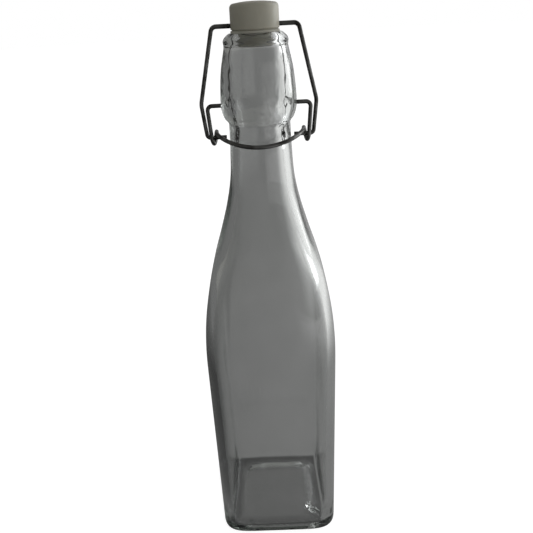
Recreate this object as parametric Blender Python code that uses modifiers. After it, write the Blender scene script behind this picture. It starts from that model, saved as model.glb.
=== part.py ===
"""Swing top bottle: a square glass bottle closed by a wire-bound stopper.

Blender 4.5 script, metres, +Z up. The origin is on the bottle's axis, on the plane it stands on. -Y is the front,
where the locking lever's thumb loop is, and +X is the right-hand side. The bottle is modelled closed and locked.
"""

import math

import bmesh
import bpy
from mathutils import Vector

MM = 0.001

# Bottle: body, floor and finish
BODY_HALF = 36.0 * MM
BODY_POWER = 6.5
WALL = 3.2 * MM
HEEL_RADIUS = 5.5 * MM
PUNT_HALF = 25.0 * MM
PUNT_DEPTH = 3.0 * MM
PUNT_FLAT = 20.5 * MM
FLOOR_HEIGHT = 4.2 * MM
FLOOR_HALF = 28.8 * MM
PAD_HEIGHT = 7.0 * MM
PAD_HALF = 22.0 * MM
BORE_RADIUS = 9.8 * MM
LIP_RADIUS = 15.2 * MM
LIP_HEIGHT = 285.4 * MM
RIM_HEIGHT = 288.6 * MM
SQUARE_BELOW = 118.0 * MM
ROUND_ABOVE = 224.0 * MM
RING_POINTS = 40
ARC_STEPS = 5
CURVE_STEPS = 2

# Outlines of the bottle as (half width, height): shoulder and neck, bulge, and the same two on the inside
SHOULDER_POINTS = [
    (BODY_HALF, 118 * MM),
    (35.9 * MM, 135 * MM),
    (34.7 * MM, 150 * MM),
    (31.7 * MM, 166 * MM),
    (27.8 * MM, 181 * MM),
    (23.3 * MM, 195 * MM),
    (19.2 * MM, 209 * MM),
    (16.5 * MM, 222 * MM),
    (15.5 * MM, 235 * MM),
    (15.0 * MM, 248.6 * MM),
]
BULGE_POINTS = [
    (15.4 * MM, 249.6 * MM),
    (17.1 * MM, 251.9 * MM),
    (18.3 * MM, 256.5 * MM),
    (18.1 * MM, 264 * MM),
    (17.1 * MM, 273 * MM),
    (15.3 * MM, 281.4 * MM),
]
INSIDE_NECK_POINTS = [
    (BORE_RADIUS, 286.8 * MM),
    (10.6 * MM, 285.6 * MM),
    (11.5 * MM, 283.8 * MM),
    (12.3 * MM, 280.5 * MM),
    (12.9 * MM, 276 * MM),
    (13.3 * MM, 269 * MM),
    (13.4 * MM, 263 * MM),
    (13.1 * MM, 258 * MM),
    (12.2 * MM, 253 * MM),
    (11.1 * MM, 248 * MM),
    (10.8 * MM, 242 * MM),
    (11.4 * MM, 235 * MM),
    (12.5 * MM, 222 * MM),
    (14.4 * MM, 209 * MM),
    (17.8 * MM, 195 * MM),
    (22.2 * MM, 181 * MM),
    (27.4 * MM, 166 * MM),
    (31.0 * MM, 150 * MM),
    (32.5 * MM, 135 * MM),
    (BODY_HALF - WALL, 118 * MM),
]
SEAT_TOP = (11.3 * MM, 288.2 * MM)
SEAT_FOOT = (9.9 * MM, 287.1 * MM)

# Closure: wire, hinge axes and clearances
WIRE_RADIUS = 1.0 * MM
GAP = 0.3 * MM
PIVOT_HEIGHT = 257.3 * MM
EYE_HEIGHT = 242.0 * MM
EYE_BEHIND = 1.6 * MM
CROSSBAR_HEIGHT = 291.7 * MM
DIMPLE_RADIUS = 1.5 * MM
DIMPLE_BOTTOM = 15.4 * MM

# Locking lever, right-hand half
LEVER_TIP = 16.0 * MM
LEVER_CORNER = 25.2 * MM
LEVER_BEND = 2.2 * MM
COIL_RADIUS = 2.9 * MM
COIL_OUTER = 24.0 * MM
COIL_INNER = 21.6 * MM
COIL_TURN = 270.0
LOOP_REACH = 20.0 * MM
LOOP_DROP = 4.2 * MM

# Stopper bail, right-hand half, as (distance from the middle, height) of the bends' corners
BAIL_TIP = 16.8 * MM
BAIL_HOOK = (26.4 * MM, EYE_HEIGHT)
BAIL_KNEE = (28.0 * MM, 258.0 * MM)
BAIL_SHOULDER = (19.9 * MM, CROSSBAR_HEIGHT)
HOOK_BEND = 1.8 * MM
KNEE_BEND = 9.0 * MM
SHOULDER_BEND = 2.6 * MM
BEND_STEPS = 5

# Stopper and gasket
CAP_RADIUS = 11.2 * MM
CAP_TOP = 301.3 * MM
CAP_DOME = 0.75 * MM
CAP_EDGE = 2.0 * MM
CAP_SIDE_FOOT = 290.15 * MM
CAP_UNDERSIDE = 289.6 * MM
WAIST_RADIUS = 10.6 * MM
STEM_RADIUS = 5.9 * MM
PLUG_TOP = 286.1 * MM
PLUG_RADIUS = 8.4 * MM
PLUG_TIP_RADIUS = 7.6 * MM
PLUG_BOTTOM = 284.4 * MM
CROSS_HOLE_RADIUS = 1.36 * MM
GASKET_RADIUS = 10.9 * MM
GASKET_FOOT_RADIUS = 9.2 * MM
TURN_STEPS = 36
HOLE_STEPS = 12


def clear_scene():
    for obj in list(bpy.data.objects):
        bpy.data.objects.remove(obj, do_unlink=True)


def new_collection(name):
    collection = bpy.data.collections.new(name)
    bpy.context.scene.collection.children.link(collection)
    return collection


def new_material(name, colour, roughness, metallic=0.0, transmission=0.0):
    material = bpy.data.materials.new(name)
    material.use_nodes = True
    shader = material.node_tree.nodes["Principled BSDF"]
    shader.inputs["Base Color"].default_value = (*colour, 1.0)
    shader.inputs["Roughness"].default_value = roughness
    shader.inputs["Metallic"].default_value = metallic
    shader.inputs["Transmission Weight"].default_value = transmission
    return material


def new_object(name, data, collection, origin=(0.0, 0.0, 0.0), parent=None):
    """An object whose origin is at a place in the world, also when it has a parent."""
    obj = bpy.data.objects.new(name, data)
    collection.objects.link(obj)
    obj.parent = parent
    obj["origin"] = origin
    parent_origin = Vector(parent["origin"]) if parent else Vector()
    obj.location = Vector(origin) - parent_origin
    return obj


def smooth_curve(points, steps):
    """Points along a Catmull-Rom curve through the given points."""
    padded = [points[0]] + list(points) + [points[-1]]
    curve = []
    for before, start, end, after in zip(padded, padded[1:], padded[2:], padded[3:]):
        for step in range(steps):
            t = step / steps
            curve.append(tuple(catmull_rom(*values, t) for values in zip(before, start, end, after)))
    curve.append(tuple(points[-1]))
    return curve


def catmull_rom(before, start, end, after, t):
    slope = (end - before) / 2
    end_slope = (after - start) / 2
    change = end - start
    cubic = slope + end_slope - 2 * change
    square = 3 * change - 2 * slope - end_slope
    return start + t * (slope + t * (square + t * cubic))


def arc(centre, radius, start, end, steps):
    """Points on a circle from one angle in degrees to another, both ends included."""
    angles = [math.radians(start + (end - start) * step / steps) for step in range(steps + 1)]
    return [(centre[0] + radius * math.cos(angle), centre[1] + radius * math.sin(angle)) for angle in angles]


def bottle_outside():
    """(half width, height) from the middle of the underside up to the rim."""
    punt = [(8 * MM, PUNT_DEPTH), (PUNT_FLAT, PUNT_DEPTH * 0.9), (PUNT_HALF, 0.0)]
    heel = arc((BODY_HALF - HEEL_RADIUS, HEEL_RADIUS), HEEL_RADIUS, -90, 0, ARC_STEPS)
    shoulder = smooth_curve(SHOULDER_POINTS, CURVE_STEPS)
    bulge = smooth_curve(BULGE_POINTS, CURVE_STEPS)
    lip = [
        (LIP_RADIUS - 0.2 * MM, 283.4 * MM),
        (LIP_RADIUS, LIP_HEIGHT),
        (LIP_RADIUS - 0.5 * MM, LIP_HEIGHT + 1.1 * MM),
        (13.5 * MM, 287.6 * MM),
        (12.0 * MM, RIM_HEIGHT),
    ]
    return punt + heel + shoulder + bulge + lip


def bottle_inside():
    """(half width, height) from the gasket's seat down to the raised pad in the middle of the floor."""
    bend = BODY_HALF - WALL - FLOOR_HALF
    mouth = [SEAT_TOP, SEAT_FOOT]
    neck = smooth_curve(INSIDE_NECK_POINTS, CURVE_STEPS)
    foot = arc((FLOOR_HALF, FLOOR_HEIGHT + bend), bend, 0, -90, ARC_STEPS)
    pad = [(FLOOR_HALF - 3 * MM, FLOOR_HEIGHT), (PAD_HALF, PAD_HEIGHT - 0.4 * MM), (8 * MM, PAD_HEIGHT)]
    return mouth + neck + foot + pad


def squareness(height):
    """The power of the ring's outline: 2 is a circle, and more is a square with round corners."""
    span = (height - SQUARE_BELOW) / (ROUND_ABOVE - SQUARE_BELOW)
    blend = min(max(span, 0.0), 1.0)
    eased = blend * blend * (3 - 2 * blend)
    return 1 / (1 / BODY_POWER + (1 / 2 - 1 / BODY_POWER) * eased)


def ring(half, height):
    """Points round the axis on a superellipse, which blends a rounded square into a circle."""
    exponent = 2 / squareness(height)
    points = []
    for index in range(RING_POINTS):
        angle = 2 * math.pi * index / RING_POINTS
        across = math.copysign(abs(math.cos(angle)) ** exponent, math.cos(angle))
        along = math.copysign(abs(math.sin(angle)) ** exponent, math.sin(angle))
        points.append((half * across, half * along, height))
    return points


def loft_mesh(name, rings):
    """One closed skin over a stack of rings, with a flat cap on the first and the last."""
    mesh = bpy.data.meshes.new(name)
    skin = bmesh.new()
    rows = [[skin.verts.new(point) for point in points] for points in rings]
    for lower, upper in zip(rows, rows[1:]):
        for index in range(RING_POINTS):
            following = (index + 1) % RING_POINTS
            skin.faces.new((lower[index], lower[following], upper[following], upper[index]))
    skin.faces.new(reversed(rows[0]))
    skin.faces.new(rows[-1])
    skin.to_mesh(mesh)
    skin.free()
    return mesh


def shade(obj, angle=40):
    obj.data.shade_smooth()
    obj.data.set_sharp_from_angle(angle=math.radians(angle))


def sideways_cutter(name, radius, length, centre, collection, parent=None):
    """A cylinder along X, for a dimple or a cross hole."""
    mesh = bpy.data.meshes.new(name)
    solid = bmesh.new()
    bmesh.ops.create_cone(
        solid, cap_ends=True, segments=HOLE_STEPS, radius1=radius, radius2=radius, depth=length
    )
    solid.to_mesh(mesh)
    solid.free()
    cutter = new_object(name, mesh, collection, centre, parent)
    cutter.rotation_euler = (0.0, math.radians(90), 0.0)
    cutter.hide_render = True
    cutter.display_type = "WIRE"
    return cutter


def cut(obj, cutter):
    boolean = obj.modifiers.new(cutter.name, "BOOLEAN")
    boolean.operation = "DIFFERENCE"
    boolean.solver = "EXACT"
    boolean.object = cutter


def turned(name, profile, collection, origin, parent, closed=False):
    """A solid of revolution from (radius, height) points that run down its outer side."""
    mesh = bpy.data.meshes.new(name)
    outline = bmesh.new()
    points = [outline.verts.new((radius, 0.0, height - origin[2])) for radius, height in profile]
    for start, end in zip(points, points[1:]):
        outline.edges.new((start, end))
    if closed:
        outline.edges.new((points[-1], points[0]))
    outline.to_mesh(mesh)
    outline.free()
    obj = new_object(name, mesh, collection, origin, parent)
    screw = obj.modifiers.new("turn", "SCREW")
    screw.steps = TURN_STEPS
    screw.render_steps = TURN_STEPS
    screw.use_merge_vertices = True
    screw.merge_threshold = 0.00001
    screw.use_smooth_shade = True
    return obj


def wire(name, route, collection, origin, parent):
    """A round wire along a route of world points."""
    curve = bpy.data.curves.new(name, "CURVE")
    curve.dimensions = "3D"
    curve.bevel_depth = WIRE_RADIUS
    curve.bevel_resolution = 2
    curve.use_fill_caps = True
    spline = curve.splines.new("POLY")
    spline.points.add(len(route) - 1)
    for point, place in zip(spline.points, route):
        point.co = (*(Vector(place) - Vector(origin)), 1.0)
    return new_object(name, curve, collection, origin, parent)


def bend(corner, before, after, radius):
    """Points round an arc that joins two straight runs of wire at a corner."""
    corner = Vector(corner)
    back = (Vector(before) - corner).normalized()
    on = (Vector(after) - corner).normalized()
    half_angle = back.angle(on) / 2
    reach = radius / math.tan(half_angle)
    centre = corner + (back + on).normalized() * (radius / math.sin(half_angle))
    start = corner + back * reach - centre
    end = corner + on * reach - centre
    turn = start.angle(end)
    points = []
    for step in range(BEND_STEPS + 1):
        t = step / BEND_STEPS
        arm = (start * math.sin((1 - t) * turn) + end * math.sin(t * turn)) / math.sin(turn)
        points.append(tuple(centre + arm))
    return points


def mirrored(route):
    """A whole symmetric route from its right-hand half, which ends in the middle."""
    left = [(-x, y, z) for x, y, z in route]
    return route[:-1] + [route[-1]] + left[-2::-1]


def eye_coil():
    """Down the front of the eye, under it, up behind and over its top, moving inwards by a wire's width."""
    points = []
    steps = 14
    for step in range(steps + 1):
        t = step / steps
        angle = math.radians(180 + COIL_TURN * t)
        x = COIL_OUTER + (COIL_INNER - COIL_OUTER) * t
        y = EYE_BEHIND + COIL_RADIUS * math.cos(angle)
        z = EYE_HEIGHT + COIL_RADIUS * math.sin(angle)
        points.append((x, y, z))
    return points


def thumb_loop():
    """From the top of the eye round the front of the neck to the middle, dropping on the way."""
    points = []
    steps = 9
    for step in range(1, steps + 1):
        angle = math.radians(90 * step / steps)
        x = COIL_INNER * math.cos(angle)
        y = EYE_BEHIND - (LOOP_REACH + EYE_BEHIND) * math.sin(angle)
        z = EYE_HEIGHT + COIL_RADIUS - LOOP_DROP * math.sin(angle) ** 2
        points.append((x, y, z))
    return points


def lever_route():
    tip = (LEVER_TIP, 0.0, PIVOT_HEIGHT)
    corner = (LEVER_CORNER, 0.0, PIVOT_HEIGHT)
    eye_front = (COIL_OUTER, EYE_BEHIND - COIL_RADIUS, EYE_HEIGHT)
    half = [tip] + bend(corner, tip, eye_front, LEVER_BEND) + eye_coil() + thumb_loop()
    return mirrored(half)


def bail_place(corner):
    """A bend of the bail, which leans back from the crossbar to the eye behind the pivot."""
    across, height = corner
    lean = (CROSSBAR_HEIGHT - height) / (CROSSBAR_HEIGHT - EYE_HEIGHT)
    return (across, EYE_BEHIND * lean, height)


def bail_route():
    tip = bail_place((BAIL_TIP, EYE_HEIGHT))
    hook = bail_place(BAIL_HOOK)
    knee = bail_place(BAIL_KNEE)
    shoulder = bail_place(BAIL_SHOULDER)
    middle = bail_place((0.0, CROSSBAR_HEIGHT))
    half = [tip]
    half += bend(hook, tip, knee, HOOK_BEND)
    half += bend(knee, hook, shoulder, KNEE_BEND)
    half += bend(shoulder, knee, middle, SHOULDER_BEND)
    half.append(middle)
    return mirrored(half)


def stopper_profile():
    """Cap, waist, stem and plug, from the top of the axis to the bottom of it."""
    edge_centre = (CAP_RADIUS - CAP_EDGE, CAP_TOP - CAP_DOME - CAP_EDGE)
    cap = [(0.0, CAP_TOP), (5 * MM, CAP_TOP - CAP_DOME * 0.25)]
    edge = arc(edge_centre, CAP_EDGE, 90, 0, 4)
    side = [(CAP_RADIUS, CAP_SIDE_FOOT), (WAIST_RADIUS, CAP_SIDE_FOOT - 0.3 * MM), (WAIST_RADIUS, CAP_UNDERSIDE)]
    stem = [(STEM_RADIUS, CAP_UNDERSIDE), (STEM_RADIUS, PLUG_TOP)]
    plug = [
        (PLUG_RADIUS, PLUG_TOP),
        (PLUG_RADIUS, PLUG_BOTTOM + 0.8 * MM),
        (PLUG_TIP_RADIUS, PLUG_BOTTOM),
        (0.0, PLUG_BOTTOM),
    ]
    return cap + edge + side + stem + plug


def gasket_profile():
    """A washer with a conical underside, a gap away from the stopper and from the glass seat."""
    slope = (SEAT_TOP[1] - SEAT_FOOT[1]) / (SEAT_TOP[0] - SEAT_FOOT[0])
    lift = GAP * math.hypot(1.0, slope) * 1.1
    edge_height = SEAT_FOOT[1] + slope * (GASKET_RADIUS - 0.1 * MM - SEAT_FOOT[0]) + lift
    foot_height = SEAT_FOOT[1] + slope * (GASKET_FOOT_RADIUS - SEAT_FOOT[0]) + lift
    top = CAP_UNDERSIDE - GAP
    bore = STEM_RADIUS + GAP * 1.1
    return [
        (bore, top),
        (GASKET_RADIUS - 0.2 * MM, top),
        (GASKET_RADIUS, top - 0.2 * MM),
        (GASKET_RADIUS - 0.1 * MM, edge_height),
        (GASKET_FOOT_RADIUS, foot_height),
        (bore, foot_height),
    ]


def make_bottle(parts, cutters):
    rings = [ring(half, height) for half, height in bottle_outside() + bottle_inside()]
    bottle = new_object("bottle", loft_mesh("bottle", rings), parts)
    shade(bottle)
    depth = BODY_HALF - DIMPLE_BOTTOM
    for side, name in ((1, "right_dimple"), (-1, "left_dimple")):
        centre = (side * (DIMPLE_BOTTOM + depth / 2), 0.0, PIVOT_HEIGHT)
        cut(bottle, sideways_cutter(name, DIMPLE_RADIUS, depth, centre, cutters))
    bottle.data.materials.append(new_material("clear_glass", (0.80, 0.82, 0.82), 0.03, transmission=1.0))
    return bottle


def make_closure(parts, cutters, bottle):
    """Each piece has its origin on the axis it turns about, and hangs from the piece that carries it."""
    steel = new_material("steel_wire", (0.35, 0.35, 0.34), 0.35, metallic=1.0)
    lever = wire("locking_lever", lever_route(), parts, (0.0, 0.0, PIVOT_HEIGHT), bottle)
    lever.data.materials.append(steel)

    bail = wire("stopper_bail", bail_route(), parts, (0.0, EYE_BEHIND, EYE_HEIGHT), lever)
    bail.data.materials.append(steel.copy())

    crossbar = (0.0, 0.0, CROSSBAR_HEIGHT)
    stopper = turned("stopper", stopper_profile(), parts, crossbar, bail)
    hole = sideways_cutter("cross_hole", CROSS_HOLE_RADIUS, 4 * CAP_RADIUS, crossbar, cutters, stopper)
    cut(stopper, hole)
    stopper.data.materials.append(new_material("white_plastic", (0.80, 0.79, 0.74), 0.45))

    gasket = turned("gasket", gasket_profile(), parts, crossbar, stopper, closed=True)
    gasket.data.materials.append(new_material("pale_rubber", (0.72, 0.71, 0.66), 0.7))


def main():
    clear_scene()
    parts = new_collection("swing_top_bottle")
    cutters = new_collection("cutters")
    bottle = make_bottle(parts, cutters)
    make_closure(parts, cutters, bottle)


main()
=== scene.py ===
"""The looks of the swing top bottle: clear glass, a moulded stopper, a rubber gasket and bent steel wire.

Every piece is rebuilt at a fine resolution in the place of its CAD node. Metres, +Z up, the front is at -Y.
"""

import math

import bmesh
import bpy
from mathutils import Matrix, Vector, noise


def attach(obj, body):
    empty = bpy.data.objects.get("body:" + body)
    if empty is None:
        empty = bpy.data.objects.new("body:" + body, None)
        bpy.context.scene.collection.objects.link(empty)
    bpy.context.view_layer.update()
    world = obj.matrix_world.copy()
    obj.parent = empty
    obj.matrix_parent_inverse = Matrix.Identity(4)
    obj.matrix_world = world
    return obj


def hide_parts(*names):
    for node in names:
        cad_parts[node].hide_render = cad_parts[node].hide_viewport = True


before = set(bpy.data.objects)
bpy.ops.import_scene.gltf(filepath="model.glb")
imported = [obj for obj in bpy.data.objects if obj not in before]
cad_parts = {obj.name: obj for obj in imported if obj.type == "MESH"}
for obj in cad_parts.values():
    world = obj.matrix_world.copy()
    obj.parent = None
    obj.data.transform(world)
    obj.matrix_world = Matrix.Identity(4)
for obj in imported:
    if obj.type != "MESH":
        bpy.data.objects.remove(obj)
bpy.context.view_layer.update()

MM = 0.001

# Camera: close to the bottle, at about the stopper's height, tilted down and rolled a little
CAMERA_SIDE = -2.8 * MM
CAMERA_DISTANCE = 283.5 * MM
CAMERA_HEIGHT = 297.8 * MM
CAMERA_PITCH = 27.46
CAMERA_ROLL = 3.2
CAMERA_TURN = 1.46
CAMERA_LENS = 37.72
CAMERA_SHIFT = (0.0048, 0.0621)

# The room: a window on the right with a dimmer, larger curtain behind it
WINDOW_PLACE = (0.81, 0.39, 0.42)
WINDOW_SIZE = (0.16, 0.42)
WINDOW_POWER = 0.5
CURTAIN_SIZE = (0.42, 0.52)
CURTAIN_POWER = 0.8
CURTAIN_BEHIND = 1.05
# What the world shows, by the cosine of the angle from the direction of GLOW_PLACE
GLOW_PLACE = (0.80, 0.50, 0.30)
ROOM_GLOW = [
    (0.0, (0.245, 0.243, 0.235)),
    (0.52, (0.235, 0.235, 0.232)),
    (0.64, (0.32, 0.32, 0.32)),
    (0.78, (0.58, 0.58, 0.59)),
    (0.95, (1.30, 1.31, 1.33)),
]

# The floor as the camera sees it
FLOOR_GREY = 0.35
FLOOR_LIGHT = 0.94
# The floor as the glass shows it: a glow of painted light, dark on the left and brighter towards the window
# on the right.
# Near the bottle its grey goes by metres to the right along NEAR_AXIS, and far away by direction, from left
# (-1) to right (1).
NEAR_AXIS = (1.0, 0.25, 0.0)
NEAR_PAINTED_GREYS = [
    (-0.14, 0.05),
    (-0.075, 0.075),
    (-0.045, 0.16),
    (-0.032, 0.21),
    (0.1, 0.23),
    (0.3, 0.3),
    (0.5, 0.5),
]
FAR_PAINTED_GREYS = [
    (-1.0, 0.18),
    (-0.5, 0.17),
    (-0.2, 0.19),
    (0.08, 0.205),
    (0.2, 0.27),
    (0.38, 0.8),
    (0.6, 1.05),
    (1.0, 0.95),
]
NEAR_ENDS = 0.22
FAR_STARTS = 0.7
# How much of it is left under the bottle, by distance from the middle of the shade
SHADE_MIDDLE = (-0.003, -0.001, 0.0)
FLOOR_SHADE = [(0.019, 0.56), (0.0245, 0.36), (0.031, 0.24), (0.034, 0.24), (0.037, 1.0)]

# Bottle, repeated from the CAD model
BODY_HALF = 36.0 * MM
BODY_POWER = 6.5
WALL = 3.2 * MM
HEEL_RADIUS = 5.5 * MM
PUNT_HALF = 25.0 * MM
PUNT_DEPTH = 3.0 * MM
FLOOR_HEIGHT = 4.2 * MM
FLOOR_HALF = 28.8 * MM
PAD_HEIGHT = 7.0 * MM
PAD_HALF = 22.0 * MM
BORE_RADIUS = 9.8 * MM
SQUARE_BELOW = 118.0 * MM
ROUND_ABOVE = 224.0 * MM
RING_POINTS = 200
# How uneven the glass is: waves in its inner wall and floor, ripples underneath, and creases in one corner
WALL_WAVE = 0.3 * MM
FLOOR_RISE = 0.9 * MM
RISE_BELOW = 9.0 * MM
PUNT_RIPPLE = 0.8 * MM
CREASE_PLACE = Vector((24.0, -22.0, 5.0)) * MM
CREASE_REACH = 10.0 * MM
CREASE_DEPTH = 3.2 * MM
# Outlines of the bottle, as (half width, height)
SHOULDER_POINTS = [
    (BODY_HALF, 118 * MM),
    (35.9 * MM, 135 * MM),
    (34.7 * MM, 150 * MM),
    (31.7 * MM, 166 * MM),
    (27.8 * MM, 181 * MM),
    (23.3 * MM, 195 * MM),
    (19.2 * MM, 209 * MM),
    (16.5 * MM, 222 * MM),
    (15.5 * MM, 235 * MM),
    (15.0 * MM, 248.2 * MM),
]
BULGE_POINTS = [
    (15.1 * MM, 249.0 * MM),
    (15.6 * MM, 249.9 * MM),
    (17.1 * MM, 251.9 * MM),
    (18.3 * MM, 256.5 * MM),
    (18.1 * MM, 264 * MM),
    (17.1 * MM, 273 * MM),
    (15.3 * MM, 281.4 * MM),
    (15.0 * MM, 283.0 * MM),
]
LIP_POINTS = [
    (15.1 * MM, 284.2 * MM),
    (15.2 * MM, 285.3 * MM),
    (14.8 * MM, 286.4 * MM),
    (13.6 * MM, 287.6 * MM),
    (12.6 * MM, 288.3 * MM),
    (12.0 * MM, 288.55 * MM),
    (11.5 * MM, 288.4 * MM),
    (11.2 * MM, 288.1 * MM),
    (10.6 * MM, 287.6 * MM),
    (10.0 * MM, 287.15 * MM),
    (9.85 * MM, 286.7 * MM),
]
INSIDE_NECK_POINTS = [
    (BORE_RADIUS, 286.8 * MM),
    (10.6 * MM, 285.6 * MM),
    (11.5 * MM, 283.8 * MM),
    (12.3 * MM, 280.5 * MM),
    (12.9 * MM, 276 * MM),
    (13.3 * MM, 269 * MM),
    (13.4 * MM, 263 * MM),
    (13.1 * MM, 258 * MM),
    (12.2 * MM, 253 * MM),
    (11.1 * MM, 248 * MM),
    (10.8 * MM, 242 * MM),
    (11.4 * MM, 235 * MM),
    (12.5 * MM, 222 * MM),
    (14.4 * MM, 209 * MM),
    (17.8 * MM, 195 * MM),
    (22.2 * MM, 181 * MM),
    (27.4 * MM, 166 * MM),
    (31.0 * MM, 150 * MM),
    (32.5 * MM, 135 * MM),
    (BODY_HALF - WALL, 118 * MM),
]

# Closure, repeated from the CAD model
WIRE_RADIUS = 1.0 * MM
PIVOT_HEIGHT = 257.3 * MM
EYE_HEIGHT = 242.0 * MM
EYE_BEHIND = 1.6 * MM
CROSSBAR_HEIGHT = 291.7 * MM
DIMPLE_RADIUS = 1.5 * MM
DIMPLE_BOTTOM = 15.4 * MM
LEVER_TIP = 16.0 * MM
LEVER_CORNER = 25.2 * MM
LEVER_BEND = 2.2 * MM
COIL_RADIUS = 2.9 * MM
COIL_OUTER = 24.0 * MM
COIL_INNER = 21.6 * MM
COIL_TURN = 270.0
LOOP_REACH = 20.0 * MM
LOOP_DROP = 4.2 * MM
BAIL_TIP = 16.8 * MM
BAIL_HOOK = (26.4 * MM, EYE_HEIGHT)
BAIL_KNEE = (28.0 * MM, 258.0 * MM)
BAIL_SHOULDER = (19.9 * MM, CROSSBAR_HEIGHT)
HOOK_BEND = 1.8 * MM
KNEE_BEND = 9.0 * MM
SHOULDER_BEND = 2.6 * MM
CAP_RADIUS = 11.2 * MM
CAP_TOP = 301.3 * MM
CAP_UNDERSIDE = 289.6 * MM
WAIST_RADIUS = 10.6 * MM
STEM_RADIUS = 5.9 * MM
PLUG_TOP = 286.1 * MM
PLUG_RADIUS = 8.4 * MM
PLUG_BOTTOM = 284.4 * MM
CROSS_HOLE_RADIUS = 1.36 * MM


# Materials

def set_stops(ramp, stops):
    """Gives a colour ramp its colours: stops is a list of (position, (r, g, b))."""
    elements = ramp.color_ramp.elements
    while len(elements) < len(stops):
        elements.new(0.5)
    for element, (position, colour) in zip(elements, stops):
        element.position = position
        element.color = (*colour, 1.0)


class Nodes:
    """A small helper that adds and joins shader nodes."""

    def __init__(self, name):
        self.material = bpy.data.materials.new(name)
        self.material.use_nodes = True
        self.tree = self.material.node_tree
        self.shader = self.tree.nodes["Principled BSDF"]
        self.output = self.tree.nodes["Material Output"]

    def add(self, kind, **inputs):
        node = self.tree.nodes.new(kind)
        for key, value in inputs.items():
            node.inputs[key.replace("_", " ")].default_value = value
        return node

    def join(self, source, target):
        self.tree.links.new(source, target)

    def place(self, scale=(1.0, 1.0, 1.0)):
        """Object coordinates, stretched."""
        coordinates = self.add("ShaderNodeTexCoord")
        mapping = self.add("ShaderNodeMapping")
        mapping.inputs["Scale"].default_value = scale
        self.join(coordinates.outputs["Object"], mapping.inputs["Vector"])
        return mapping.outputs["Vector"]

    def speckle(self, scale, detail=3.0, stretch=(1.0, 1.0, 1.0)):
        texture = self.add("ShaderNodeTexNoise", Scale=scale, Detail=detail)
        self.join(self.place(stretch), texture.inputs["Vector"])
        return texture.outputs["Fac"]

    def ramp(self, factor, stops):
        ramp = self.add("ShaderNodeValToRGB")
        set_stops(ramp, stops)
        self.join(factor, ramp.inputs["Fac"])
        return ramp.outputs["Color"]

    def spread(self, value, low, high):
        """0 at low and 1 at high."""
        change = self.add("ShaderNodeMapRange", From_Min=low, From_Max=high)
        self.join(value, change.inputs["Value"])
        return change.outputs["Result"]

    def grey_by(self, value, greys, low, high):
        """Greys at given values between low and high: greys is a list of (value, grey)."""
        stops = [((at - low) / (high - low), (grey, grey, grey)) for at, grey in greys]
        return self.ramp(self.spread(value, low, high), stops)

    def vector_math(self, operation, vector, other=None):
        node = self.add("ShaderNodeVectorMath")
        node.operation = operation
        self.join(vector, node.inputs[0])
        if other:
            node.inputs[1].default_value = other
        return node.outputs

    def split(self, vector):
        node = self.add("ShaderNodeSeparateXYZ")
        self.join(vector, node.inputs["Vector"])
        return node.outputs

    def tint(self, factor, stops):
        """Joins a ramp to the shader's colour."""
        self.join(self.ramp(factor, stops), self.shader.inputs["Base Color"])

    def roughen(self, factor, low, high):
        """Joins a factor of 0 to 1, spread from low to high, to the shader's roughness."""
        change = self.add("ShaderNodeMapRange", To_Min=low, To_Max=high)
        self.join(factor, change.inputs["Value"])
        self.join(change.outputs["Result"], self.shader.inputs["Roughness"])

    def bump(self, factor, strength, distance):
        bump = self.add("ShaderNodeBump", Strength=strength, Distance=distance)
        self.join(factor, bump.inputs["Height"])
        self.join(bump.outputs["Normal"], self.shader.inputs["Normal"])


def glass_material():
    """Clear glass with a faint film on it, uneven as pressed glass is, and green where it is thick."""
    made = Nodes("clear_grey_glass")
    shader = made.shader
    shader.inputs["Transmission Weight"].default_value = 1.0
    shader.inputs["IOR"].default_value = 1.52
    film = made.speckle(60.0, 4.0, (1.0, 1.0, 0.5))
    made.tint(film, [(0.3, (0.93, 0.935, 0.93)), (0.7, (0.98, 0.98, 0.98))])
    made.roughen(film, 0.02, 0.07)
    made.bump(made.speckle(28.0, 2.0, (1.0, 1.0, 0.35)), 0.10, 0.002)
    absorb = made.add("ShaderNodeVolumeAbsorption", Color=(0.44, 0.49, 0.45, 1.0), Density=34.0)
    made.join(absorb.outputs["Volume"], made.output.inputs["Volume"])
    return made.material


def plastic_material():
    """Satin off-white plastic with a fine grain."""
    made = Nodes("off_white_plastic")
    shader = made.shader
    made.tint(made.speckle(140.0, 4.0), [(0.3, (0.42, 0.405, 0.33)), (0.7, (0.48, 0.465, 0.385))])
    made.roughen(made.speckle(400.0, 2.0), 0.36, 0.52)
    shader.inputs["Subsurface Weight"].default_value = 0.15
    shader.inputs["Subsurface Radius"].default_value = (1.0, 0.8, 0.5)
    shader.inputs["Subsurface Scale"].default_value = 0.002
    made.bump(made.speckle(900.0, 3.0), 0.12, 0.0002)
    return made.material


def rubber_material():
    """Matte pale rubber."""
    made = Nodes("pale_rubber")
    made.tint(made.speckle(220.0, 3.0), [(0.3, (0.46, 0.45, 0.38)), (0.7, (0.54, 0.53, 0.46))])
    made.roughen(made.speckle(500.0), 0.55, 0.75)
    made.bump(made.speckle(1200.0, 2.0), 0.2, 0.0002)
    return made.material


def wire_material(name):
    """Dull dark steel, brighter where it has rubbed."""
    made = Nodes(name)
    made.shader.inputs["Metallic"].default_value = 1.0
    made.tint(made.speckle(180.0, 5.0), [(0.35, (0.045, 0.044, 0.04)), (0.65, (0.17, 0.17, 0.165))])
    made.roughen(made.speckle(600.0, 3.0), 0.22, 0.42)
    made.bump(made.speckle(1500.0, 3.0), 0.15, 0.0002)
    return made.material


# Shapes

def smooth_curve(points, steps):
    """Points along a Catmull-Rom curve through the given points."""
    padded = [points[0]] + list(points) + [points[-1]]
    curve = []
    for before, start, end, after in zip(padded, padded[1:], padded[2:], padded[3:]):
        for step in range(steps):
            t = step / steps
            curve.append(tuple(catmull_rom(*values, t) for values in zip(before, start, end, after)))
    curve.append(tuple(points[-1]))
    return curve


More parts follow.
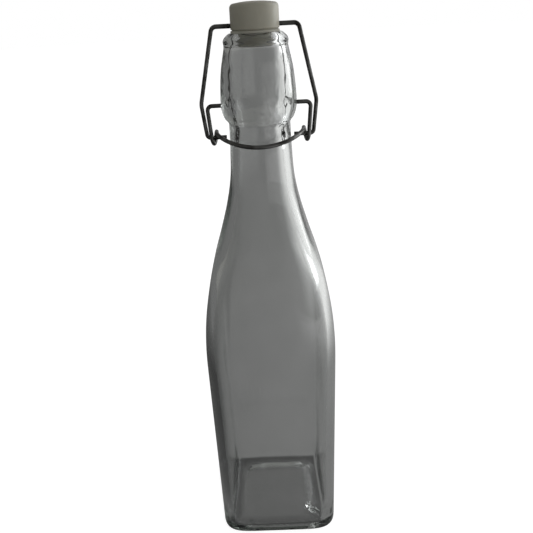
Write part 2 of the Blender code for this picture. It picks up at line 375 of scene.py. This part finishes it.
def catmull_rom(before, start, end, after, t):
    slope = (end - before) / 2
    end_slope = (after - start) / 2
    change = end - start
    cubic = slope + end_slope - 2 * change
    square = 3 * change - 2 * slope - end_slope
    return start + t * (slope + t * (square + t * cubic))


def arc(centre, radius, start, end, steps):
    """Points round part of a circle, from one angle to another in degrees."""
    x, z = centre
    angles = [math.radians(start + (end - start) * step / steps) for step in range(steps + 1)]
    return [(x + radius * math.cos(angle), z + radius * math.sin(angle)) for angle in angles]


def bottle_outside():
    """(half width, height) from the middle of the underside up to below the lip."""
    punt = [(half * MM, PUNT_DEPTH) for half in (2, 6, 10, 14)]
    slope = [
        (17.5 * MM, PUNT_DEPTH),
        (19.5 * MM, PUNT_DEPTH * 0.88),
        (22 * MM, PUNT_DEPTH * 0.45),
        (PUNT_HALF, 0.0),
    ]
    punt += smooth_curve(slope, 5)
    heel = arc((BODY_HALF - HEEL_RADIUS, HEEL_RADIUS), HEEL_RADIUS, -90, 0, 12)
    body = [(BODY_HALF, z * MM) for z in range(12, 112, 7)]
    return punt + heel + body + smooth_curve(SHOULDER_POINTS, 8) + smooth_curve(BULGE_POINTS, 6)


def bottle_inside():
    """(half width, height) from below the mouth down to the raised pad in the middle of the floor."""
    bend = BODY_HALF - WALL - FLOOR_HALF
    neck = smooth_curve(INSIDE_NECK_POINTS, 8)
    body = [(BODY_HALF - WALL, z * MM) for z in range(112, 12, -5)]
    foot = arc((FLOOR_HALF, FLOOR_HEIGHT + bend), bend, 0, -90, 12)
    slope = [
        (FLOOR_HALF - 3 * MM, FLOOR_HEIGHT),
        (24 * MM, 5.4 * MM),
        (PAD_HALF, PAD_HEIGHT - 0.4 * MM),
    ]
    rise = smooth_curve(slope, 5)
    pad = [(half * MM, PAD_HEIGHT) for half in (18, 14, 10, 6, 2)]
    return neck + body + foot + rise + pad


def smooth_step(value, start, end):
    """0 before the start, 1 after the end and an eased rise in between."""
    t = min(max((value - start) / (end - start), 0.0), 1.0)
    return t * t * (3 - 2 * t)


def squareness(height):
    """The power of the ring's outline: 2 is a circle, and more is a square with round corners."""
    roundness = smooth_step(height, SQUARE_BELOW, ROUND_ABOVE)
    return 1 / (1 / BODY_POWER + (1 / 2 - 1 / BODY_POWER) * roundness)


def ring(half, height, wave=0.0, ripple=0.0, rise=0.0):
    """Points round the axis on a superellipse, moved inwards by waves and ripples, and up by the rise."""
    exponent = 2 / squareness(height)
    points = []
    for index in range(RING_POINTS):
        angle = 2 * math.pi * index / RING_POINTS
        across = math.copysign(abs(math.cos(angle)) ** exponent, math.cos(angle))
        along = math.copysign(abs(math.sin(angle)) ** exponent, math.sin(angle))
        place = Vector((half * across, half * along, height))
        long_wave = 0.5 + 0.5 * noise.noise(Vector((place.x * 70, place.y * 70, place.z * 28)))
        short_wave = 0.5 + 0.35 * noise.noise(place * 210) + 0.2 * noise.noise(place * 520)
        place.z += rise * (0.5 + 0.5 * noise.noise(place * 160 + Vector((7, 3, 5))))
        place.xy *= 1 - (wave * long_wave + ripple * short_wave) / max(half, MM)
        points.append(place)
    return points


def ripples(height):
    """How deep the inner wall's short ripples are: most in the heel and in the bulge of the neck."""
    heel = 1 - smooth_step(height, 8 * MM, 26 * MM)
    bulge = smooth_step(height, 236 * MM, 250 * MM) * (1 - smooth_step(height, 276 * MM, 285 * MM))
    neck_ring = smooth_step(height, 240 * MM, 247 * MM) * (1 - smooth_step(height, 256 * MM, 268 * MM))
    return (1.1 * heel + 0.22 * bulge + 0.3 * neck_ring) * MM


def crease(place):
    """How far up the creases in one corner of the floor push a point."""
    nearness = 1 - smooth_step((place - CREASE_PLACE).length, 2 * MM, CREASE_REACH)
    return CREASE_DEPTH * nearness * abs(noise.noise(place * 480))


def loft_mesh(name, rings):
    mesh = bpy.data.meshes.new(name)
    skin = bmesh.new()
    rows = [[skin.verts.new(point) for point in points] for points in rings]
    for lower, upper in zip(rows, rows[1:]):
        for index in range(RING_POINTS):
            following = (index + 1) % RING_POINTS
            skin.faces.new((lower[index], lower[following], upper[following], upper[index]))
    skin.faces.new(reversed(rows[0]))
    skin.faces.new(rows[-1])
    skin.to_mesh(mesh)
    skin.free()
    return mesh


def add_object(name, data):
    obj = bpy.data.objects.new(name, data)
    bpy.context.scene.collection.objects.link(obj)
    return obj


def applied(obj):
    """The object's mesh with its modifiers applied, on a new object."""
    graph = bpy.context.evaluated_depsgraph_get()
    mesh = bpy.data.meshes.new_from_object(obj.evaluated_get(graph))
    made = add_object(obj.name + "_final", mesh)
    made.matrix_world = obj.matrix_world
    bpy.data.objects.remove(obj)
    return made


def shade(obj, angle):
    obj.data.shade_smooth()
    obj.data.set_sharp_from_angle(angle=math.radians(angle))


def sideways_cylinder(name, radius, length, centre, steps=32):
    mesh = bpy.data.meshes.new(name)
    solid = bmesh.new()
    sizes = {"radius1": radius, "radius2": radius, "depth": length}
    bmesh.ops.create_cone(solid, cap_ends=True, segments=steps, **sizes)
    solid.to_mesh(mesh)
    solid.free()
    cutter = add_object(name, mesh)
    cutter.location = centre
    cutter.rotation_euler = (0.0, math.radians(90), 0.0)
    return cutter


def cut(obj, cutters):
    for cutter in cutters:
        boolean = obj.modifiers.new(cutter.name, "BOOLEAN")
        boolean.operation = "DIFFERENCE"
        boolean.solver = "EXACT"
        boolean.object = cutter
    name = obj.name
    made = applied(obj)
    made.name = name
    for cutter in cutters:
        bpy.data.objects.remove(cutter)
    return made


def make_bottle():
    outside = bottle_outside()
    lip = smooth_curve(LIP_POINTS, 5)
    inside = bottle_inside()
    rings = []
    for half, height in outside + lip:
        uneven = PUNT_RIPPLE if half < PUNT_HALF and height <= PUNT_DEPTH else 0.0
        rings.append(ring(half, height, ripple=uneven, rise=uneven))
    for half, height in inside:
        rise = FLOOR_RISE if height < RISE_BELOW else 0.0
        points = ring(half, height, WALL_WAVE, ripples(height), rise)
        for place in points:
            place.z += crease(place)
        rings.append(points)
    bottle = add_object("glass_bottle", loft_mesh("glass_bottle", rings))
    depth = BODY_HALF - DIMPLE_BOTTOM
    cutters = []
    for side in (1, -1):
        centre = (side * (DIMPLE_BOTTOM + depth / 2), 0.0, PIVOT_HEIGHT)
        cutters.append(sideways_cylinder("dimple", DIMPLE_RADIUS, depth, centre))
    bottle = cut(bottle, cutters)
    shade(bottle, 50)
    bottle.data.materials.append(glass_material())
    return bottle


def turned(name, profile, steps=96, closed=False):
    """A solid of revolution from (radius, height) points that run down its outer side."""
    mesh = bpy.data.meshes.new(name)
    outline = bmesh.new()
    points = [outline.verts.new((radius, 0.0, height)) for radius, height in profile]
    for start, end in zip(points, points[1:]):
        outline.edges.new((start, end))
    if closed:
        outline.edges.new((points[-1], points[0]))
    outline.to_mesh(mesh)
    outline.free()
    obj = add_object(name, mesh)
    screw = obj.modifiers.new("turn", "SCREW")
    screw.steps = steps
    screw.render_steps = steps
    screw.use_merge_vertices = True
    screw.merge_threshold = 0.00001
    return obj


def rounded(corners, steps=4):
    """An outline of (radius, height, rounding) corners with an arc at each rounded corner."""
    outline = []
    for index, (x, z, radius) in enumerate(corners):
        if not radius:
            outline.append((x, z))
            continue
        here = Vector((x, 0.0, z))
        before = Vector((corners[index - 1][0], 0.0, corners[index - 1][1]))
        after_corner = corners[(index + 1) % len(corners)]
        after = Vector((after_corner[0], 0.0, after_corner[1]))
        outline += [(point[0], point[2]) for point in bend(here, before, after, radius, steps)]
    return outline


def make_stopper():
    profile = [(0.0, CAP_TOP)]
    profile += [(r * MM, CAP_TOP - 0.75 * MM * (r / 9.2) ** 2.6) for r in (1.5, 3.0, 4.5, 6.0, 7.5)]
    side = [
        (CAP_RADIUS - 0.1 * MM, CAP_TOP - 0.95 * MM, 1.9 * MM),
        (CAP_RADIUS, 294.0 * MM, 0.0),
        (CAP_RADIUS, 290.15 * MM, 0.25 * MM),
        (WAIST_RADIUS, 289.85 * MM, 0.08 * MM),
        (WAIST_RADIUS, CAP_UNDERSIDE, 0.08 * MM),
        (STEM_RADIUS, CAP_UNDERSIDE, 0.0),
        (STEM_RADIUS, PLUG_TOP, 0.0),
        (PLUG_RADIUS, PLUG_TOP, 0.3 * MM),
        (PLUG_RADIUS, PLUG_BOTTOM + 0.8 * MM, 0.4 * MM),
        (7.6 * MM, PLUG_BOTTOM, 0.4 * MM),
    ]
    corners = [(profile[-1][0], profile[-1][1], 0.0)] + side + [(0.0, PLUG_BOTTOM, 0.0)]
    profile += rounded(corners, 6)[1:]
    stopper = turned("stopper_cap", profile)
    middle = (0.0, 0.0, CROSSBAR_HEIGHT)
    hole = sideways_cylinder("cross_hole", CROSS_HOLE_RADIUS, 4 * CAP_RADIUS, middle, 48)
    stopper = cut(stopper, [hole])
    shade(stopper, 35)
    stopper.data.materials.append(plastic_material())
    return stopper


def make_gasket():
    corners = [
        (6.25 * MM, 289.55 * MM, 0.2 * MM),
        (11.3 * MM, 289.55 * MM, 0.3 * MM),
        (11.35 * MM, 288.2 * MM, 0.2 * MM),
        (10.63 * MM, 287.56 * MM, 0.0),
        (10.04 * MM, 287.1 * MM, 0.1 * MM),
        (9.6 * MM, 286.7 * MM, 0.2 * MM),
        (6.25 * MM, 286.7 * MM, 0.2 * MM),
    ]
    gasket = turned("gasket_ring", rounded(corners, 5), closed=True)
    gasket = applied(gasket)
    gasket.name = "gasket_ring"
    shade(gasket, 40)
    gasket.data.materials.append(rubber_material())
    return gasket


def bend(corner, before, after, radius, steps):
    """Points round an arc that joins two straight runs at a corner."""
    corner = Vector(corner)
    back = (Vector(before) - corner).normalized()
    on = (Vector(after) - corner).normalized()
    half_angle = back.angle(on) / 2
    reach = radius / math.tan(half_angle)
    centre = corner + (back + on).normalized() * (radius / math.sin(half_angle))
    start = corner + back * reach - centre
    end = corner + on * reach - centre
    turn = start.angle(end)
    points = []
    for step in range(steps + 1):
        t = step / steps
        arm = (start * math.sin((1 - t) * turn) + end * math.sin(t * turn)) / math.sin(turn)
        points.append(tuple(centre + arm))
    return points


def mirrored(route):
    """The whole wire, from the right half that ends in the middle."""
    left = [(-x, y, z) for x, y, z in route]
    return route + left[-2::-1]


def eye_coil(steps=40):
    """Down the front of the eye, under it, up behind and over its top, moving inwards by a wire's width."""
    points = []
    for step in range(steps + 1):
        t = step / steps
        angle = math.radians(180 + COIL_TURN * t)
        x = COIL_OUTER + (COIL_INNER - COIL_OUTER) * t
        y = EYE_BEHIND + COIL_RADIUS * math.cos(angle)
        points.append((x, y, EYE_HEIGHT + COIL_RADIUS * math.sin(angle)))
    return points


def thumb_loop(steps=32):
    """From the top of the eye round the front of the neck to the middle, dropping on the way."""
    points = []
    for step in range(1, steps + 1):
        angle = math.radians(90 * step / steps)
        x = COIL_INNER * math.cos(angle)
        y = EYE_BEHIND - (LOOP_REACH + EYE_BEHIND) * math.sin(angle)
        points.append((x, y, EYE_HEIGHT + COIL_RADIUS - LOOP_DROP * math.sin(angle) ** 2))
    return points


def lever_route():
    tip = (LEVER_TIP, 0.0, PIVOT_HEIGHT)
    corner = (LEVER_CORNER, 0.0, PIVOT_HEIGHT)
    eye_front = (COIL_OUTER, EYE_BEHIND - COIL_RADIUS, EYE_HEIGHT)
    return mirrored([tip] + bend(corner, tip, eye_front, LEVER_BEND, 12) + eye_coil() + thumb_loop())


def bail_place(corner):
    """A bend of the bail, which leans back from the crossbar to the eye behind the pivot."""
    across, height = corner
    lean = (CROSSBAR_HEIGHT - height) / (CROSSBAR_HEIGHT - EYE_HEIGHT)
    return (across, EYE_BEHIND * lean, height)


def bail_route():
    tip = bail_place((BAIL_TIP, EYE_HEIGHT))
    hook = bail_place(BAIL_HOOK)
    knee = bail_place(BAIL_KNEE)
    shoulder = bail_place(BAIL_SHOULDER)
    middle = bail_place((0.0, CROSSBAR_HEIGHT))
    half = [tip] + bend(hook, tip, knee, HOOK_BEND, 12) + bend(knee, hook, shoulder, KNEE_BEND, 12)
    return mirrored(half + bend(shoulder, knee, middle, SHOULDER_BEND, 12) + [middle])


def make_wire(name, route):
    """A round wire with smooth bends and slightly rounded cut ends."""
    curve = bpy.data.curves.new(name, "CURVE")
    curve.dimensions = "3D"
    curve.bevel_depth = WIRE_RADIUS
    curve.bevel_resolution = 8
    curve.use_fill_caps = True
    spline = curve.splines.new("POLY")
    spline.points.add(len(route) - 1)
    for point, place in zip(spline.points, route):
        point.co = (*place, 1.0)
    made = applied(add_object(name, curve))
    made.name = name
    mesh = made.data
    solid = bmesh.new()
    solid.from_mesh(mesh)
    bmesh.ops.remove_doubles(solid, verts=solid.verts, dist=0.00001)
    solid.to_mesh(mesh)
    solid.free()
    ends = made.modifiers.new("ends", "BEVEL")
    ends.width = 0.3 * MM
    ends.segments = 3
    ends.limit_method = "ANGLE"
    ends.angle_limit = math.radians(60)
    shade(made, 45)
    made.data.materials.append(wire_material(name + "_steel"))
    return made


# Stage, light and camera

def near_and_far_painted_light(made, here):
    """The floor's painted light in the glass, before the painted shadow under the bottle."""
    beside = made.vector_math("DOT_PRODUCT", here, NEAR_AXIS)["Value"]
    direction = made.split(made.vector_math("NORMALIZE", here)["Vector"])["X"]
    distance = made.vector_math("LENGTH", here)["Value"]
    # A Mix node's colours are its inputs 6 and 7 and its output 2
    greys = made.add("ShaderNodeMix")
    greys.data_type = "RGBA"
    made.join(made.spread(distance, NEAR_ENDS, FAR_STARTS), greys.inputs[0])
    made.join(made.grey_by(beside, NEAR_PAINTED_GREYS, -0.5, 0.5), greys.inputs[6])
    made.join(made.grey_by(direction, FAR_PAINTED_GREYS, -1.0, 1.0), greys.inputs[7])
    return greys.outputs[2]


def square_shade(made, here):
    """What is left of the floor's light under the square bottle."""
    place = made.split(made.vector_math("SUBTRACT", here, SHADE_MIDDLE)["Vector"])
    square = made.add("ShaderNodeMath")
    square.operation = "MAXIMUM"
    for axis, target in zip(("X", "Y"), square.inputs):
        side = made.add("ShaderNodeMath")
        side.operation = "ABSOLUTE"
        made.join(place[axis], side.inputs[0])
        made.join(side.outputs["Value"], target)
    return made.grey_by(square.outputs["Value"], FLOOR_SHADE, 0.0, 0.1)


def stage_material():
    """Pale where the camera sees it. The glass shows a dim floor that glows with painted light, brighter on
    the window's side, with a painted shadow under the bottle.
    """
    made = Nodes("pale_floor")
    shader = made.shader
    shader.inputs["Base Color"].default_value = (FLOOR_GREY, FLOOR_GREY, FLOOR_GREY, 1.0)
    shader.inputs["Roughness"].default_value = 0.9
    shader.inputs["Specular IOR Level"].default_value = 0.0
    shader.inputs["Emission Color"].default_value = (1.0, 1.0, 1.0, 1.0)
    shader.inputs["Emission Strength"].default_value = FLOOR_LIGHT
    here = made.place()
    # Painted light and painted shadow: the floor's glow as the glass and the other rays see it
    room = made.add("ShaderNodeEmission")
    made.join(near_and_far_painted_light(made, here), room.inputs["Color"])
    made.join(square_shade(made, here), room.inputs["Strength"])
    rays = made.add("ShaderNodeLightPath")
    mix = made.add("ShaderNodeMixShader")
    made.join(rays.outputs["Is Camera Ray"], mix.inputs["Fac"])
    made.join(room.outputs["Emission"], mix.inputs[1])
    made.join(shader.outputs["BSDF"], mix.inputs[2])
    made.join(mix.outputs["Shader"], made.output.inputs["Surface"])
    return made.material


def make_floor():
    mesh = bpy.data.meshes.new("floor")
    solid = bmesh.new()
    bmesh.ops.create_circle(solid, cap_ends=True, segments=96, radius=8.0)
    solid.to_mesh(mesh)
    solid.free()
    floor = add_object("floor", mesh)
    floor.location = (0.0, 0.0, -0.0002)
    floor.data.materials.append(stage_material())


def make_world():
    """White to the camera. Other rays meet a dim room, which glows softly round the window."""
    world = bpy.data.worlds.new("studio")
    bpy.context.scene.world = world
    world.use_nodes = True
    tree = world.node_tree
    room = tree.nodes["Background"]
    towards = tree.nodes.new("ShaderNodeTexCoord")
    facing = tree.nodes.new("ShaderNodeVectorMath")
    facing.operation = "DOT_PRODUCT"
    facing.inputs[1].default_value = Vector(GLOW_PLACE).normalized()
    glow = tree.nodes.new("ShaderNodeValToRGB")
    set_stops(glow, ROOM_GLOW)
    tree.links.new(towards.outputs["Generated"], facing.inputs[0])
    tree.links.new(facing.outputs["Value"], glow.inputs["Fac"])
    tree.links.new(glow.outputs["Color"], room.inputs["Color"])
    seen = tree.nodes.new("ShaderNodeBackground")
    seen.inputs["Color"].default_value = (1.0, 1.0, 1.0, 1.0)
    mix = tree.nodes.new("ShaderNodeMixShader")
    rays = tree.nodes.new("ShaderNodeLightPath")
    tree.links.new(rays.outputs["Is Camera Ray"], mix.inputs["Fac"])
    tree.links.new(room.outputs["Background"], mix.inputs[1])
    tree.links.new(seen.outputs["Background"], mix.inputs[2])
    tree.links.new(mix.outputs["Shader"], tree.nodes["World Output"].inputs["Surface"])


def add_softbox(name, place, size, power, colour):
    """An area light that faces the bottle's axis at its own height."""
    light = bpy.data.lights.new(name, "AREA")
    light.color = colour
    light.shape = "RECTANGLE"
    light.size, light.size_y = size
    light.energy = power
    obj = add_object(name, light)
    obj.location = place
    towards_axis = Vector((-place[0], -place[1], 0.0))
    obj.rotation_euler = towards_axis.to_track_quat("-Z", "Y").to_euler()
    obj.visible_camera = False


def make_lights():
    add_softbox("window", WINDOW_PLACE, WINDOW_SIZE, WINDOW_POWER, (0.97, 0.99, 1.0))
    behind = tuple(CURTAIN_BEHIND * value for value in WINDOW_PLACE)
    add_softbox("curtain", behind, CURTAIN_SIZE, CURTAIN_POWER, (1.0, 1.0, 1.0))


def make_camera():
    pitch = math.radians(CAMERA_PITCH)
    roll = math.radians(CAMERA_ROLL)
    forward = Vector((0.0, math.cos(pitch), -math.sin(pitch)))
    down = Vector((0.0, -math.sin(pitch), -math.cos(pitch)))
    right = Vector((1.0, 0.0, 0.0))
    x_axis = right * math.cos(roll) + down * math.sin(roll)
    y_axis = right * math.sin(roll) - down * math.cos(roll)
    matrix = Matrix((x_axis, y_axis, -forward)).transposed().to_4x4()
    matrix.translation = Vector((CAMERA_SIDE, -CAMERA_DISTANCE, CAMERA_HEIGHT))
    turn = Matrix.Rotation(math.radians(CAMERA_TURN), 4, "Z")
    data = bpy.data.cameras.new("camera")
    data.lens = CAMERA_LENS
    data.shift_x, data.shift_y = CAMERA_SHIFT
    data.clip_start = 0.01
    camera = add_object("camera", data)
    camera.matrix_world = turn @ matrix
    bpy.context.scene.camera = camera


def stand_for(piece, node, body):
    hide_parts(node)
    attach(piece, body)


scene = bpy.context.scene
scene.view_settings.view_transform = "Standard"
scene.cycles.max_bounces = 32
scene.cycles.glossy_bounces = 32
scene.cycles.transmission_bounces = 32
make_camera()
make_world()
make_lights()
make_floor()
stand_for(make_bottle(), "bottle", "bottle")
stand_for(make_stopper(), "stopper", "stopper")
stand_for(make_gasket(), "gasket", "stopper")
stand_for(make_wire("bail_wire", bail_route()), "stopper_bail", "bail")
stand_for(make_wire("lever_wire", lever_route()), "locking_lever", "lever")
